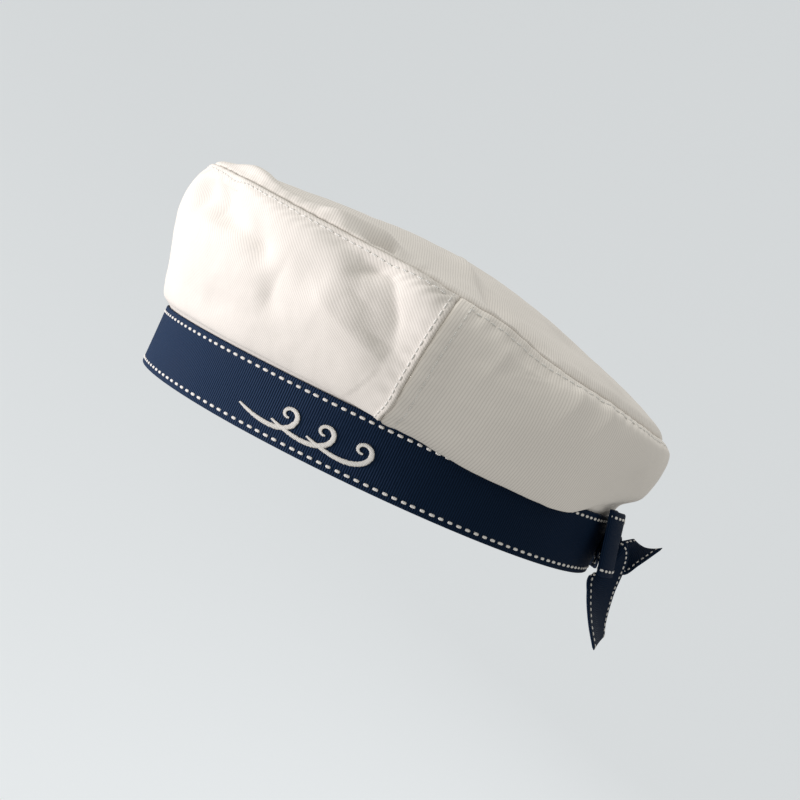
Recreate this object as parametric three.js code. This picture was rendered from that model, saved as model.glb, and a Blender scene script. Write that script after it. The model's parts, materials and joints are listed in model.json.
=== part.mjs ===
// Sailor beret: a soft white twill crown on an oval head opening, a navy grosgrain ribbon round its foot,
// and a bow of the same ribbon at the back with two loops, a knot and two short tails.
// Millimetres. +Z is up, -Y is the front, +X is the wearer's left. The origin is the middle of the head opening,
// level with the ribbon's lower edge.
import * as THREE from "three";

// Driving sizes
const HEAD_LENGTH = 201; // inside of the foot, front to back
const HEAD_BREADTH = 163; // inside of the foot, side to side
const CLOTH = 1.2; // thickness of the twill wall
const RIBBON = 1.0; // thickness of the ribbon
const RIBBON_WIDTH = 25;
const GAP = 0.3; // clearance between pieces that are sewn together
const TURN = 2 * Math.PI;

const CLOTH_LENGTH = HEAD_LENGTH / 2 + CLOTH; // reach of the cloth's outer face inside the ribbon
const CLOTH_BREADTH = HEAD_BREADTH / 2 + CLOTH;
const RIBBON_LENGTH = CLOTH_LENGTH + GAP + RIBBON; // reach of the ribbon's outer face
const RIBBON_BREADTH = CLOTH_BREADTH + GAP + RIBBON;

// Sections of the crown's side, from the hem up to the top seam. Each is an oval ring given by how far its outer
// face reaches to the front, side and back, and by its height at the same three places.
const SIDE_SECTIONS = [
  { name: "hem", front: CLOTH_LENGTH, side: CLOTH_BREADTH, back: CLOTH_LENGTH, frontZ: 0.8, sideZ: 0.8, backZ: 0.8 },
  { name: "inside", front: CLOTH_LENGTH, side: CLOTH_BREADTH, back: CLOTH_LENGTH, frontZ: 24, sideZ: 24, backZ: 24 },
  { name: "lip", front: 102.1, side: 83.1, back: 102.1, frontZ: 27.3, sideZ: 27.0, backZ: 27.2 },
  { name: "roll", front: 105.2, side: 87.0, back: 103.4, frontZ: 30.5, sideZ: 28.2, backZ: 31.4 },
  { name: "lower", front: 108.4, side: 96.5, back: 108.7, frontZ: 40, sideZ: 34.5, backZ: 38.8 },
  { name: "belly", front: 113.4, side: 110.5, back: 112.4, frontZ: 64, sideZ: 57, backZ: 48.2 },
  { name: "shoulder", front: 112.9, side: 112.0, back: 112.0, frontZ: 79, sideZ: 67.5, backZ: 56.6 },
  { name: "seam", front: 107.8, side: 107.8, back: 107.8, frontZ: 85.0, sideZ: 72, backZ: 60.0 },
];

// Rings of the tip, the round panel on top: share of the seam's reach, and rise above the seam's plane towards
// the front, side and back.
const TIP_RINGS = [
  { share: 0.94, front: 3.2, side: 3.2, back: 5.0 },
  { share: 0.76, front: 8.0, side: 8.6, back: 11.0 },
  { share: 0.5, front: 13.8, side: 15.6, back: 17.2 },
  { share: 0.24, front: 19.2, side: 20.6, back: 21.2 },
  { share: 0, front: 22, side: 22, back: 22 },
];

// Main folds and dents. deg: place round the hat from the front towards the wearer's left; level: place up the
// crown, in sections; wideDeg and tall: half widths; lean: degrees that the fold moves per section upwards;
// out: push outwards; lift: push upwards.
const FOLDS = [
  { name: "left sag over the ribbon", deg: 110, level: 3.6, wideDeg: 20, tall: 1.1, lean: 0, out: 1.0, lift: -2.6 },
  { name: "left back sag", deg: 127, level: 3.6, wideDeg: 10, tall: 1.1, lean: 0, out: 0.6, lift: -2.2 },
  { name: "right sag over the ribbon", deg: 240, level: 3.6, wideDeg: 22, tall: 1.1, lean: 0, out: 1.5, lift: -3.4 },
  { name: "dent under the seam", deg: 79, level: 6.3, wideDeg: 7, tall: 0.8, lean: -3, out: -4.5, lift: -1.5 },
  { name: "dent in the tip by the seam", deg: 84, level: 7.8, wideDeg: 8, tall: 0.7, lean: 4, out: -1, lift: -4.5 },
  { name: "hump beside the dent", deg: 71, level: 8.2, wideDeg: 9, tall: 0.8, lean: 2, out: 0, lift: 2.2 },
  { name: "ridge behind the dent", deg: 92, level: 6.4, wideDeg: 7, tall: 1.0, lean: 0, out: 1.6, lift: 0.8 },
  { name: "valley down the side", deg: 84, level: 5.2, wideDeg: 6, tall: 0.9, lean: -4, out: -2.2, lift: 0 },
  { name: "front hollow", deg: 44, level: 5.5, wideDeg: 16, tall: 0.6, lean: 8, out: -2.4, lift: 0 },
  { name: "front corner tuck", deg: 22, level: 6.2, wideDeg: 8, tall: 0.6, lean: 5, out: -2, lift: -1 },
  { name: "back dent under the seam", deg: 120, level: 6.6, wideDeg: 11, tall: 0.8, lean: 4, out: -3, lift: -1.5 },
  { name: "back swell", deg: 142, level: 5.4, wideDeg: 14, tall: 1.2, lean: 0, out: 2, lift: 0 },
  { name: "right hollow", deg: 292, level: 5.6, wideDeg: 14, tall: 0.8, lean: -6, out: -2.4, lift: 0 },
  { name: "right dent under the seam", deg: 248, level: 6.5, wideDeg: 10, tall: 0.8, lean: -3, out: -3, lift: -1.5 },
];

// The two side seams lean back from the ribbon to the top seam.
const SIDE_SEAM = { footDeg: 94.8, topDeg: 100.4 };

// Bow sizes
const LOOP_REACH = 32; // from the middle of the bow to the end of a loop
const LOOP_SWELL = 6.0; // thickness of a loop at its fullest, over both layers
const LOOP_LEAN = 0.2; // how far the loop's lower edge stands out, per millimetre of height
const LOOP_TILT = 1.8; // how far the left loop's end rides up and the right one's down
const BOW_MIDDLE = 12.2; // height of the bow's middle
const WAIST_HEIGHT = 8.5; // the ribbon's width where the knot gathers it
const KNOT_BREADTH = 10;
const STACK = RIBBON + GAP; // one layer of ribbon and the clearance to the next

// Tails, from their roots in the knot to the cut ends. x, y, z: middle of the ribbon; acrossX, acrossY, acrossZ:
// direction across the ribbon towards its near edge; width: across the ribbon, gathered at the root.
const LEFT_TAIL = [
  { x: 0.6, y: 108.0, z: 12.2, acrossX: 0, acrossY: 0, acrossZ: -1, width: 8.5 },
  { x: 5.4, y: 108.0, z: 12.0, acrossX: 0.05, acrossY: 0, acrossZ: -1, width: 8.5 },
  { x: 8.2, y: 110.6, z: 9.6, acrossX: 0.2, acrossY: -0.21, acrossZ: -0.96, width: 12 },
  { x: 10.2, y: 111.3, z: 4.6, acrossX: 0.66, acrossY: -0.51, acrossZ: -0.55, width: 17.5 },
  { x: 10.6, y: 111.6, z: -4.5, acrossX: 0.81, acrossY: -0.57, acrossZ: -0.12, width: 24.4 },
  { x: 10.5, y: 116.0, z: -16.5, acrossX: 0.91, acrossY: -0.4, acrossZ: 0, width: 25 },
  { x: 10.5, y: 120.0, z: -25.4, acrossX: 0.96, acrossY: -0.27, acrossZ: 0, width: 25 },
];
const RIGHT_TAIL = [
  { x: -0.6, y: 109.3, z: 12.2, acrossX: 0, acrossY: 0, acrossZ: -1, width: 8 },
  { x: -6.0, y: 109.3, z: 11.8, acrossX: 0.05, acrossY: 0, acrossZ: -1, width: 8 },
  { x: -9.4, y: 111.8, z: 9.2, acrossX: 0.3, acrossY: 0.3, acrossZ: -0.9, width: 12 },
  { x: -13.0, y: 117.0, z: 9.4, acrossX: 0.72, acrossY: 0.3, acrossZ: -0.62, width: 18 },
  { x: -17.0, y: 122.1, z: 14.0, acrossX: 0.92, acrossY: 0.12, acrossZ: -0.35, width: 22 },
  { x: -19.0, y: 128.0, z: 20.8, acrossX: 0.98, acrossY: 0.1, acrossZ: 0.02, width: 24 },
];
const LEFT_SLANT = 0.05; // share of a tail's length that its far edge lacks
const RIGHT_SLANT = 0.2;

// How finely the faceted walls are cut
const FRONT_PANEL_CELLS = 46;
const BACK_PANEL_CELLS = 36;
const PANEL_LEVELS = [0, 1, 1.6, 2, 2.5, 3, 3.5, 4, 4.35, 4.7, 5, 5.5, 6, 6.5, 7];
const TIP_LEVELS = [7, 7.5, 8, 8.5, 9, 9.5, 10, 11, 12];
const BAND_CELLS = 72;
const TAIL_CELLS = { across: 4, along: 14 };

const cotton = () => new THREE.MeshStandardMaterial({ color: 0xefebe4, roughness: 0.9, metalness: 0 });
const grosgrain = () => new THREE.MeshStandardMaterial({ color: 0x182747, roughness: 0.65, metalness: 0 });

const radians = (deg) => (deg * Math.PI) / 180;
const mix = THREE.MathUtils.lerp;

// Value at an angle round the hat, from its values at the front, side and back.
function roundTheHat(angle, front, side, back) {
  const mean = (front + back) / 4 + side / 2;
  const sideways = (front + back) / 4 - side / 2;
  return mean + ((front - back) / 2) * Math.cos(angle) + sideways * Math.cos(2 * angle);
}

function sectionPoint(section, angle) {
  const middle = (section.back - section.front) / 2;
  const halfLength = (section.back + section.front) / 2;
  return new THREE.Vector3(
    section.side * Math.sin(angle),
    middle - halfLength * Math.cos(angle),
    roundTheHat(angle, section.frontZ, section.sideZ, section.backZ),
  );
}

const SEAM = SIDE_SECTIONS[SIDE_SECTIONS.length - 1];
const SEAM_LEVEL = SIDE_SECTIONS.length - 1;
const TOP_LEVEL = SEAM_LEVEL + TIP_RINGS.length;
const TIP_MIDDLE = new THREE.Vector3(0, (SEAM.back - SEAM.front) / 2, (SEAM.frontZ + SEAM.backZ) / 2);

function tipPoint(ring, angle) {
  const point = sectionPoint(SEAM, angle);
  point.lerp(TIP_MIDDLE, 1 - ring.share);
  point.z += roundTheHat(angle, ring.front, ring.side, ring.back);
  return point;
}

// The crown's smooth outer face: one curve from the hem over the seam to the middle of the tip.
function smoothCrown(angle, level) {
  const points = [
    ...SIDE_SECTIONS.map((section) => sectionPoint(section, angle)),
    ...TIP_RINGS.map((ring) => tipPoint(ring, angle)),
  ];
  return new THREE.CatmullRomCurve3(points).getPoint(level / TOP_LEVEL);
}

function bell(offset, halfWidth) {
  return Math.exp(-((offset / halfWidth) ** 2));
}

// The crown's outer face with its folds. Folds fade out inside the ribbon and at the middle of the tip.
function crownPoint(angle, level) {
  const point = smoothCrown(angle, level);
  const outwards = new THREE.Vector3(Math.sin(angle), -Math.cos(angle), 0);
  const free =
    THREE.MathUtils.smoothstep(level, 2, 3.2) * (1 - THREE.MathUtils.smoothstep(level, TOP_LEVEL - 2, TOP_LEVEL));
  for (const fold of FOLDS) {
    const centre = radians(fold.deg + fold.lean * (level - fold.level));
    const offset = Math.atan2(Math.sin(angle - centre), Math.cos(angle - centre));
    const weight = free * bell(offset, radians(fold.wideDeg)) * bell(level - fold.level, fold.tall);
    point.addScaledVector(outwards, weight * fold.out);
    point.z += weight * fold.lift;
  }
  return point;
}

function crownNormal(angle, level) {
  if (level > TOP_LEVEL - 0.01) return new THREE.Vector3(0, 0, 1);
  const step = 0.01;
  const low = Math.max(0, level - step);
  const round = crownPoint(angle + step, level).sub(crownPoint(angle - step, level));
  const up = crownPoint(angle, level + step).sub(crownPoint(angle, low));
  return round.cross(up).normalize();
}

// A point in the crown's wall. through: 0 on the inner face, 1 on the outer face. The two edges that meet at the
// top seam share the seam's own direction, so that they stay apart.
function crownWall(angle, level, through) {
  const squareTo = Math.abs(level - SEAM_LEVEL) < 0.1 ? SEAM_LEVEL : level;
  const inwards = crownNormal(angle, squareTo).multiplyScalar((through - 1) * CLOTH);
  return crownPoint(angle, level).add(inwards);
}

// Bends a flat slab of cells: place(u, v, w) gives the point for shares along, up and through the slab.
function bentSlab(cellsU, cellsV, place) {
  const geometry = new THREE.BoxGeometry(1, 1, 1, cellsU, cellsV, 1);
  const position = geometry.getAttribute("position");
  for (let i = 0; i < position.count; i++) {
    const point = place(position.getX(i) + 0.5, position.getY(i) + 0.5, position.getZ(i) + 0.5);
    position.setXYZ(i, point.x, point.y, point.z);
  }
  geometry.deleteAttribute("normal");
  geometry.deleteAttribute("uv");
  return geometry;
}

// Bends a turned ring or disc: place(turn, row) gives the point for a share of the turn and a row of the profile.
function bentRound(cells, rows, place) {
  const profile = rows.map((row, i) => new THREE.Vector2(1, i));
  const geometry = new THREE.LatheGeometry(profile, cells);
  const position = geometry.getAttribute("position");
  for (let i = 0; i < position.count; i++) {
    const turn = Math.floor(i / rows.length) / cells;
    const point = place(turn % 1, rows[i % rows.length]);
    position.setXYZ(i, point.x, point.y, point.z);
  }
  geometry.deleteAttribute("normal");
  geometry.deleteAttribute("uv");
  return geometry;
}

// Closed profile of a strip: rows of shares across (0 to 1) on the outer face, then back on the inner face.
function stripProfile(cells) {
  const shares = Array.from({ length: cells + 1 }, (_, i) => i / cells);
  const outer = shares.map((across) => ({ across, through: 1 }));
  const inner = shares.reverse().map((across) => ({ across, through: 0 }));
  return [...outer, ...inner, outer[0]];
}

function sideSeamAngle(level) {
  const share = THREE.MathUtils.clamp((level - 2) / (SEAM_LEVEL - 2), 0, 1);
  return radians(mix(SIDE_SEAM.footDeg, SIDE_SEAM.topDeg, share));
}

// Front and back panels of the crown's side, cut apart at the side seams and just below the top seam.
function sidePanel(cells, isFront) {
  const rows = PANEL_LEVELS.length - 1;
  return bentSlab(cells, rows, (u, v, w) => {
    const row = Math.round(v * rows);
    const topCut = row === rows ? 0.03 : 0;
    const level = PANEL_LEVELS[row] - topCut;
    const seam = sideSeamAngle(level);
    const halfGap = GAP / HEAD_BREADTH;
    const from = isFront ? -seam + halfGap : seam + halfGap;
    const to = isFront ? seam - halfGap : TURN - seam - halfGap;
    return crownWall(mix(from, to, u), level, w);
  });
}

function crownTip() {
  const outer = TIP_LEVELS.map((level) => ({ level: Math.max(level, SEAM_LEVEL + 0.04), through: 1 }));
  const inner = outer.map(({ level }) => ({ level, through: 0 })).reverse();
  const cells = FRONT_PANEL_CELLS + BACK_PANEL_CELLS;
  const seam = sideSeamAngle(SEAM_LEVEL);
  return bentRound(cells, [...inner, ...outer], (turn, row) => {
    const cell = turn * cells;
    const alongBack = (cell - FRONT_PANEL_CELLS) / BACK_PANEL_CELLS;
    const angle = alongBack < 0 ? mix(-seam, seam, cell / FRONT_PANEL_CELLS) : mix(seam, TURN - seam, alongBack);
    return crownWall(angle, row.level, row.through);
  });
}

function ribbonBand() {
  return bentRound(BAND_CELLS, stripProfile(1), (turn, row) => {
    const angle = turn * TURN;
    const inset = (1 - row.through) * RIBBON;
    const normal = new THREE.Vector3(Math.sin(angle) / RIBBON_BREADTH, -Math.cos(angle) / RIBBON_LENGTH, 0).normalize();
    return new THREE.Vector3(
      RIBBON_BREADTH * Math.sin(angle),
      -RIBBON_LENGTH * Math.cos(angle),
      row.across * RIBBON_WIDTH,
    ).addScaledVector(normal, -inset);
  });
}

// Where the ribbon's outer face lies at the back, at a distance x from the middle.
const bandBack = (x) => RIBBON_LENGTH * Math.sqrt(1 - (x / RIBBON_BREADTH) ** 2);

// Plan of the bow's closed loop: it runs out along its outer layer, turns at the loop's end and comes back
// along the inner layer, thin at the waist and full near the ends.
function loopPlan(turn) {
  const angle = turn * TURN;
  const x = -LOOP_REACH * Math.sin(angle);
  const share = Math.abs(x) / LOOP_REACH;
  const swell = mix(STACK + RIBBON, LOOP_SWELL, THREE.MathUtils.smoothstep(share, 0.2, 0.8));
  const half = (swell / 2) * Math.sign(Math.cos(angle)) * Math.min(1, Math.abs(Math.cos(angle)) ** 0.6 * 1.25);
  const middle = bandBack(x) + STACK + 2 * GAP + swell / 2;
  return new THREE.Vector2(x, middle + half);
}

function bowLoops() {
  return bentRound(48, stripProfile(3), (turn, row) => {
    const step = 1e-3;
    const here = loopPlan(turn);
    const tangent = loopPlan(turn + step).sub(loopPlan(turn - step)).normalize();
    const inwards = new THREE.Vector2(-tangent.y, tangent.x);
    const gather = THREE.MathUtils.smoothstep(Math.abs(here.x) / LOOP_REACH, 0.12, 0.7);
    const height = (row.across - 0.5) * mix(WAIST_HEIGHT, RIBBON_WIDTH, gather);
    const point = here.addScaledVector(inwards, (1 - row.through) * RIBBON);
    const lean = (RIBBON_WIDTH / 2 - height) * LOOP_LEAN * gather;
    const tilt = LOOP_TILT * gather * Math.sign(here.x);
    return new THREE.Vector3(point.x, point.y + lean, BOW_MIDDLE + height + tilt);
  });
}

// The knot: a short ring of ribbon that wraps the waist of the loops and the roots of the tails.
function bowKnot() {
  const inner = bandBack(0) + GAP + RIBBON;
  const depth = 4 * STACK + 2.5 * GAP;
  const halfHeight = WAIST_HEIGHT / 2 + 6 * GAP;
  return bentRound(24, stripProfile(2), (turn, row) => {
    const angle = turn * TURN;
    const squareness = 0.5;
    const corner = (value) => Math.sign(value) * Math.abs(value) ** squareness;
    const swell = row.through * RIBBON;
    return new THREE.Vector3(
      (row.across - 0.5) * KNOT_BREADTH,
      inner + depth / 2 + (depth / 2 + swell) * corner(Math.cos(angle)),
      BOW_MIDDLE + (halfHeight + swell) * corner(Math.sin(angle)),
    );
  });
}

function bowTail(rows, slant) {
  const line = new THREE.CatmullRomCurve3(rows.map((row) => new THREE.Vector3(row.x, row.y, row.z)));
  const across = new THREE.CatmullRomCurve3(
    rows.map((row) => new THREE.Vector3(row.acrossX, row.acrossY, row.acrossZ).setLength(row.width)),
  );
  return bentSlab(TAIL_CELLS.across, TAIL_CELLS.along, (u, v, w) => {
    const share = v * (1 - slant * (1 - u));
    const side = across.getPoint(share);
    const face = line.getTangent(share).cross(side).normalize();
    return line
      .getPoint(share)
      .addScaledVector(side, u - 0.5)
      .addScaledVector(face, (0.5 - w) * RIBBON);
  });
}

const beret = new THREE.Group();

function add(name, geometry, material) {
  const mesh = new THREE.Mesh(geometry, material);
  mesh.name = name;
  beret.add(mesh);
}

add("crown_tip", crownTip(), cotton());
add("side_panel_front", sidePanel(FRONT_PANEL_CELLS, true), cotton());
add("side_panel_back", sidePanel(BACK_PANEL_CELLS, false), cotton());
add("ribbon_band", ribbonBand(), grosgrain());
add("bow_loops", bowLoops(), grosgrain());
add("bow_knot", bowKnot(), grosgrain());
add("bow_tail_left", bowTail(LEFT_TAIL, LEFT_SLANT), grosgrain());
add("bow_tail_right", bowTail(RIGHT_TAIL, RIGHT_SLANT), grosgrain());

export default beret;
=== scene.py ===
# %% [markdown]
# A soft white sailor beret, made as it would be sewn: a round tip, two side panels, a navy ribbon
# round the foot and a bow of the same ribbon at the back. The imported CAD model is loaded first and
# stays as the fixed frame. Each of its plain solids is then replaced by a finer cloth of the same
# size and place.

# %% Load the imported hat
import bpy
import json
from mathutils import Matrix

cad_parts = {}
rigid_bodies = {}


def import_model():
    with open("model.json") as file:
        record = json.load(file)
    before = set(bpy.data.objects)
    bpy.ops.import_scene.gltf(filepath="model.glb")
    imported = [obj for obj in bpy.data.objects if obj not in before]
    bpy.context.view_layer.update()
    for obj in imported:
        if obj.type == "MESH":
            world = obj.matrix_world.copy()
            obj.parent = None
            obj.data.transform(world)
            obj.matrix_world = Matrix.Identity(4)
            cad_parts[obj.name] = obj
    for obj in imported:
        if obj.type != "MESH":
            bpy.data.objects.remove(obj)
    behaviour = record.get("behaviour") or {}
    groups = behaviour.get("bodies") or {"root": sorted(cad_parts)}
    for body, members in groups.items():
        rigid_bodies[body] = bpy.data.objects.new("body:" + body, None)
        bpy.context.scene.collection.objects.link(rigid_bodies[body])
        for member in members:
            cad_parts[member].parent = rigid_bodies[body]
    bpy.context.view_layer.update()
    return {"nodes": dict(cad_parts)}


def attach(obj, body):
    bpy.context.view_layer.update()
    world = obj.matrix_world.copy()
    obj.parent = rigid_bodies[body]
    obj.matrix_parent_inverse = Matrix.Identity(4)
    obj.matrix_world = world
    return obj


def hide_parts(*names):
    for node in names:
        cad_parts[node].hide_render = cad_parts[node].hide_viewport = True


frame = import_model()
print("nodes:", ", ".join(sorted(frame["nodes"])))

# %% [markdown]
# Blender's own modules make the meshes and nodes, and numpy does the sums on whole grids of points
# at once. Sizes are written in millimetres, as a pattern maker would, and turned into Blender's
# metres when a mesh is made. All the small unevenness comes from one seeded source, so every run
# gives the same hat.

# %% Tools of the lesson
import json
import math

import bmesh
import bpy
import numpy as np
from mathutils import Matrix, Vector, noise

MM = 0.001
rng = np.random.default_rng(11)
print("one unit of the tables, m:", MM)

# %% [markdown]
# The crown is one surface from the hem, hidden inside the ribbon, over the top seam to the middle
# of the tip. It could be sculpted, but a hat maker thinks in sections, so it is given as oval
# rings: how far each one reaches to the front, side and back, and how high it is there. These are
# the sizes of the CAD solids.

# %% Sections of the crown, in millimetres
CLOTH = 1.2
SEAM = 0.06
RIBBON = 1.0
RIBBON_WIDTH = 25.0
GAP = 0.3
SEAM_RADIUS = 107.8
CLOTH_LENGTH = 201 / 2 + CLOTH
CLOTH_BREADTH = 163 / 2 + CLOTH
RIBBON_LENGTH = CLOTH_LENGTH + GAP + RIBBON
RIBBON_BREADTH = CLOTH_BREADTH + GAP + RIBBON

SIDE_SECTIONS = [
    # name, reach to front, side, back, height at front, side, back
    ("hem", CLOTH_LENGTH, CLOTH_BREADTH, CLOTH_LENGTH, 0.8, 0.8, 0.8),
    ("inside", CLOTH_LENGTH, CLOTH_BREADTH, CLOTH_LENGTH, 24.6, 24.6, 24.6),
    ("lip", 103.3, 84.3, 102.6, 26.3, 26.2, 26.8),
    ("roll", 105.6, 87.6, 103.5, 28.6, 27.0, 30.8),
    ("lower", 108.4, 96.5, 108.7, 40, 34.5, 38.8),
    ("belly", 113.4, 110.5, 112.4, 64, 57, 48.2),
    ("shoulder", 112.9, 112.0, 112.0, 79, 67.5, 56.6),
    ("seam", SEAM_RADIUS, SEAM_RADIUS, SEAM_RADIUS, 85.0, 72, 60.0),
]
TIP_RINGS = [
    # share of the seam's reach, rise above the seam's plane at front, side, back
    (0.94, 3.2, 3.2, 5.0),
    (0.76, 8.0, 8.6, 11.0),
    (0.5, 13.8, 15.6, 17.2),
    (0.24, 19.2, 20.6, 21.2),
    (0.0, 22, 22, 22),
]
SEAM_LEVEL = len(SIDE_SECTIONS) - 1
TOP_LEVEL = SEAM_LEVEL + len(TIP_RINGS)


def round_the_hat(angle, front, side, back):
    """Value at an angle round the hat, from its values at the front, side and back."""
    mean = (front + back) / 4 + side / 2
    sideways = (front + back) / 4 - side / 2
    return mean + (front - back) / 2 * np.cos(angle) + sideways * np.cos(2 * angle)


def section_ring(section, angle):
    """Points of one side section. Angle 0 is the front, a quarter turn is the hat's left."""
    name, front, side, back, front_z, side_z, back_z = section
    x = side * np.sin(angle)
    y = (back - front) / 2 - (back + front) / 2 * np.cos(angle)
    return np.stack([x, y, round_the_hat(angle, front_z, side_z, back_z)], axis=-1)


def tip_ring(ring, angle):
    """Points of one ring of the tip, a shrunken seam that is lifted."""
    share, front, side, back = ring
    middle = np.array([0, 0, (SIDE_SECTIONS[-1][4] + SIDE_SECTIONS[-1][6]) / 2])
    points = middle + share * (section_ring(SIDE_SECTIONS[-1], angle) - middle)
    points[..., 2] += round_the_hat(angle, front, side, back)
    return points


print("crown sections:", len(SIDE_SECTIONS), "tip rings:", len(TIP_RINGS))

# %% [markdown]
# Between the rings the cloth runs smoothly. A Catmull-Rom spline passes through every ring, as a
# draughtsman's bent lath does, and the centripetal kind doesn't overshoot where rings lie close
# together.

# %% A smooth lath through the sections
def lath(knots, place):
    """Centripetal Catmull-Rom curves through knots (knot, column, xyz), read at place (column, row)."""
    first = 2 * knots[0] - knots[1]
    final = 2 * knots[-1] - knots[-2]
    padded = np.concatenate([[first], knots, [final]])
    start = np.clip(np.floor(place).astype(int), 0, len(knots) - 2)
    share = (place - start)[..., None]
    column = np.arange(knots.shape[1])[:, None]
    before = padded[start, column]
    here = padded[start + 1, column]
    there = padded[start + 2, column]
    after = padded[start + 3, column]

    def root_gap(a, b):
        return np.maximum(np.linalg.norm(b - a, axis=-1, keepdims=True) ** 0.5, 1e-4)

    gap_in = root_gap(before, here)
    gap = root_gap(here, there)
    gap_out = root_gap(there, after)
    leave = ((here - before) / gap_in - (there - before) / (gap_in + gap) + (there - here) / gap) * gap
    arrive = ((there - here) / gap - (after - here) / (gap + gap_out) + (after - there) / gap_out) * gap
    square = 3 * (there - here) - 2 * leave - arrive
    cube = 2 * (here - there) + leave + arrive
    return here + leave * share + square * share ** 2 + cube * share ** 3


def smoothstep(value, low, high):
    share = np.clip((value - low) / (high - low), 0, 1)
    return share * share * (3 - 2 * share)


def bell(offset, half_width):
    return np.exp(-(offset / half_width) ** 2)


def smooth_crown(angle, level):
    """The crown without folds, for angles (column) and levels (column, row)."""
    rings = [section_ring(section, angle) for section in SIDE_SECTIONS]
    rings += [tip_ring(ring, angle) for ring in TIP_RINGS]
    return lath(np.stack(rings), level)


quarter = smooth_crown(np.array([math.pi / 2]), np.array([[SEAM_LEVEL]]))
print("top seam on the hat's left, mm:", np.round(quarter[0, 0], 1))

# %% [markdown]
# Soft cotton never stands up evenly. The main dents and sags are soft bells that push the cloth out
# or down. Most are in the CAD solids already. A few are added or drawn deeper here, such as the
# fold at the back that hangs over the ribbon. A sculpt brush would do it by eye, while a table can
# be read and changed.

# %% Main folds and dents
FOLDS = [
    # name, degrees, level, half width in degrees, half height in levels, lean, push out, lift
    ("left sag over the ribbon", 110, 3.6, 20, 1.1, 0, 1.0, -2.6),
    ("left back sag", 138, 3.1, 9, 0.8, 0, 1.8, -3.6),
    ("left overhang", 125, 3.1, 22, 0.8, 0, 1.6, -6.0),
    ("rise over the bow", 162, 2.8, 12, 0.7, 0, 0.6, 1.4),
    ("fullness at the back", 170, 3.9, 22, 0.7, 0, 1.8, -0.9),
    ("right sag over the ribbon", 240, 3.6, 22, 1.1, 0, 1.5, -3.4),
    ("dent under the seam", 79, 6.2, 7, 0.7, -3, -2.4, -0.6),
    ("dent in the tip by the seam", 84, 8.0, 8, 0.6, 4, -0.6, -3.4),
    ("hump beside the dent", 71, 8.2, 9, 0.8, 2, 0, 2.2),
    ("ridge behind the dent", 92, 6.4, 7, 1.0, 0, 1.6, 0.8),
    ("valley down the side", 89, 5.0, 5, 0.9, -3, -1.6, 0),
    ("rise of the seam", 86, 7.2, 12, 1.3, 0, 0, 2.2),
    ("rise behind the side seam", 107, 7.0, 9, 0.8, 0, 0.4, 3.0),
    ("front hollow", 44, 5.5, 16, 0.6, 8, -2.4, 0),
    ("front corner tuck", 22, 6.2, 8, 0.6, 5, -2, -1),
    ("back dent across the seam", 115, 6.9, 8, 0.9, 2, -3.2, 0),
    ("back swell", 142, 5.4, 14, 1.2, 0, 2, 0),
    ("right hollow", 292, 5.6, 14, 0.8, -6, -2.4, 0),
    ("right dent under the seam", 248, 6.5, 10, 0.8, -3, -3, -1.5),
]


def turn_between(angle, other):
    """Signed angle from other to angle, the short way round."""
    return np.arctan2(np.sin(angle - other), np.cos(angle - other))


def folded_crown(angle, level):
    """The crown with its main folds, for angles (column, row) that may differ from row to row."""
    columns, rows = level.shape
    points = smooth_crown(angle.reshape(-1), level.reshape(-1, 1)).reshape(columns, rows, 3)
    outwards = np.stack([np.sin(angle), -np.cos(angle), np.zeros_like(angle)], axis=-1)
    free = smoothstep(level, 2, 3.2) * (1 - smoothstep(level, TOP_LEVEL - 2, TOP_LEVEL))
    for name, deg, at, wide, tall, lean, out, lift in FOLDS:
        offset = turn_between(angle, np.radians(deg + lean * (level - at)))
        weight = free * bell(offset, math.radians(wide)) * bell(level - at, tall)
        points += outwards * (weight * out)[..., None]
        points[..., 2] += weight * lift
    return points


print("main folds:", len(FOLDS))

# %% [markdown]
# On top of the main folds lie the small creases that an iron would take out. Each is a bent stroke
# on the flat cloth with a width for its front flank and one for its back flank, because a crease
# leans: one side is steep and the other soft. Places are degrees round the hat and millimetres of
# cloth above (+) or below (-) the top seam. A negative depth makes a crest instead of a valley.

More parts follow.
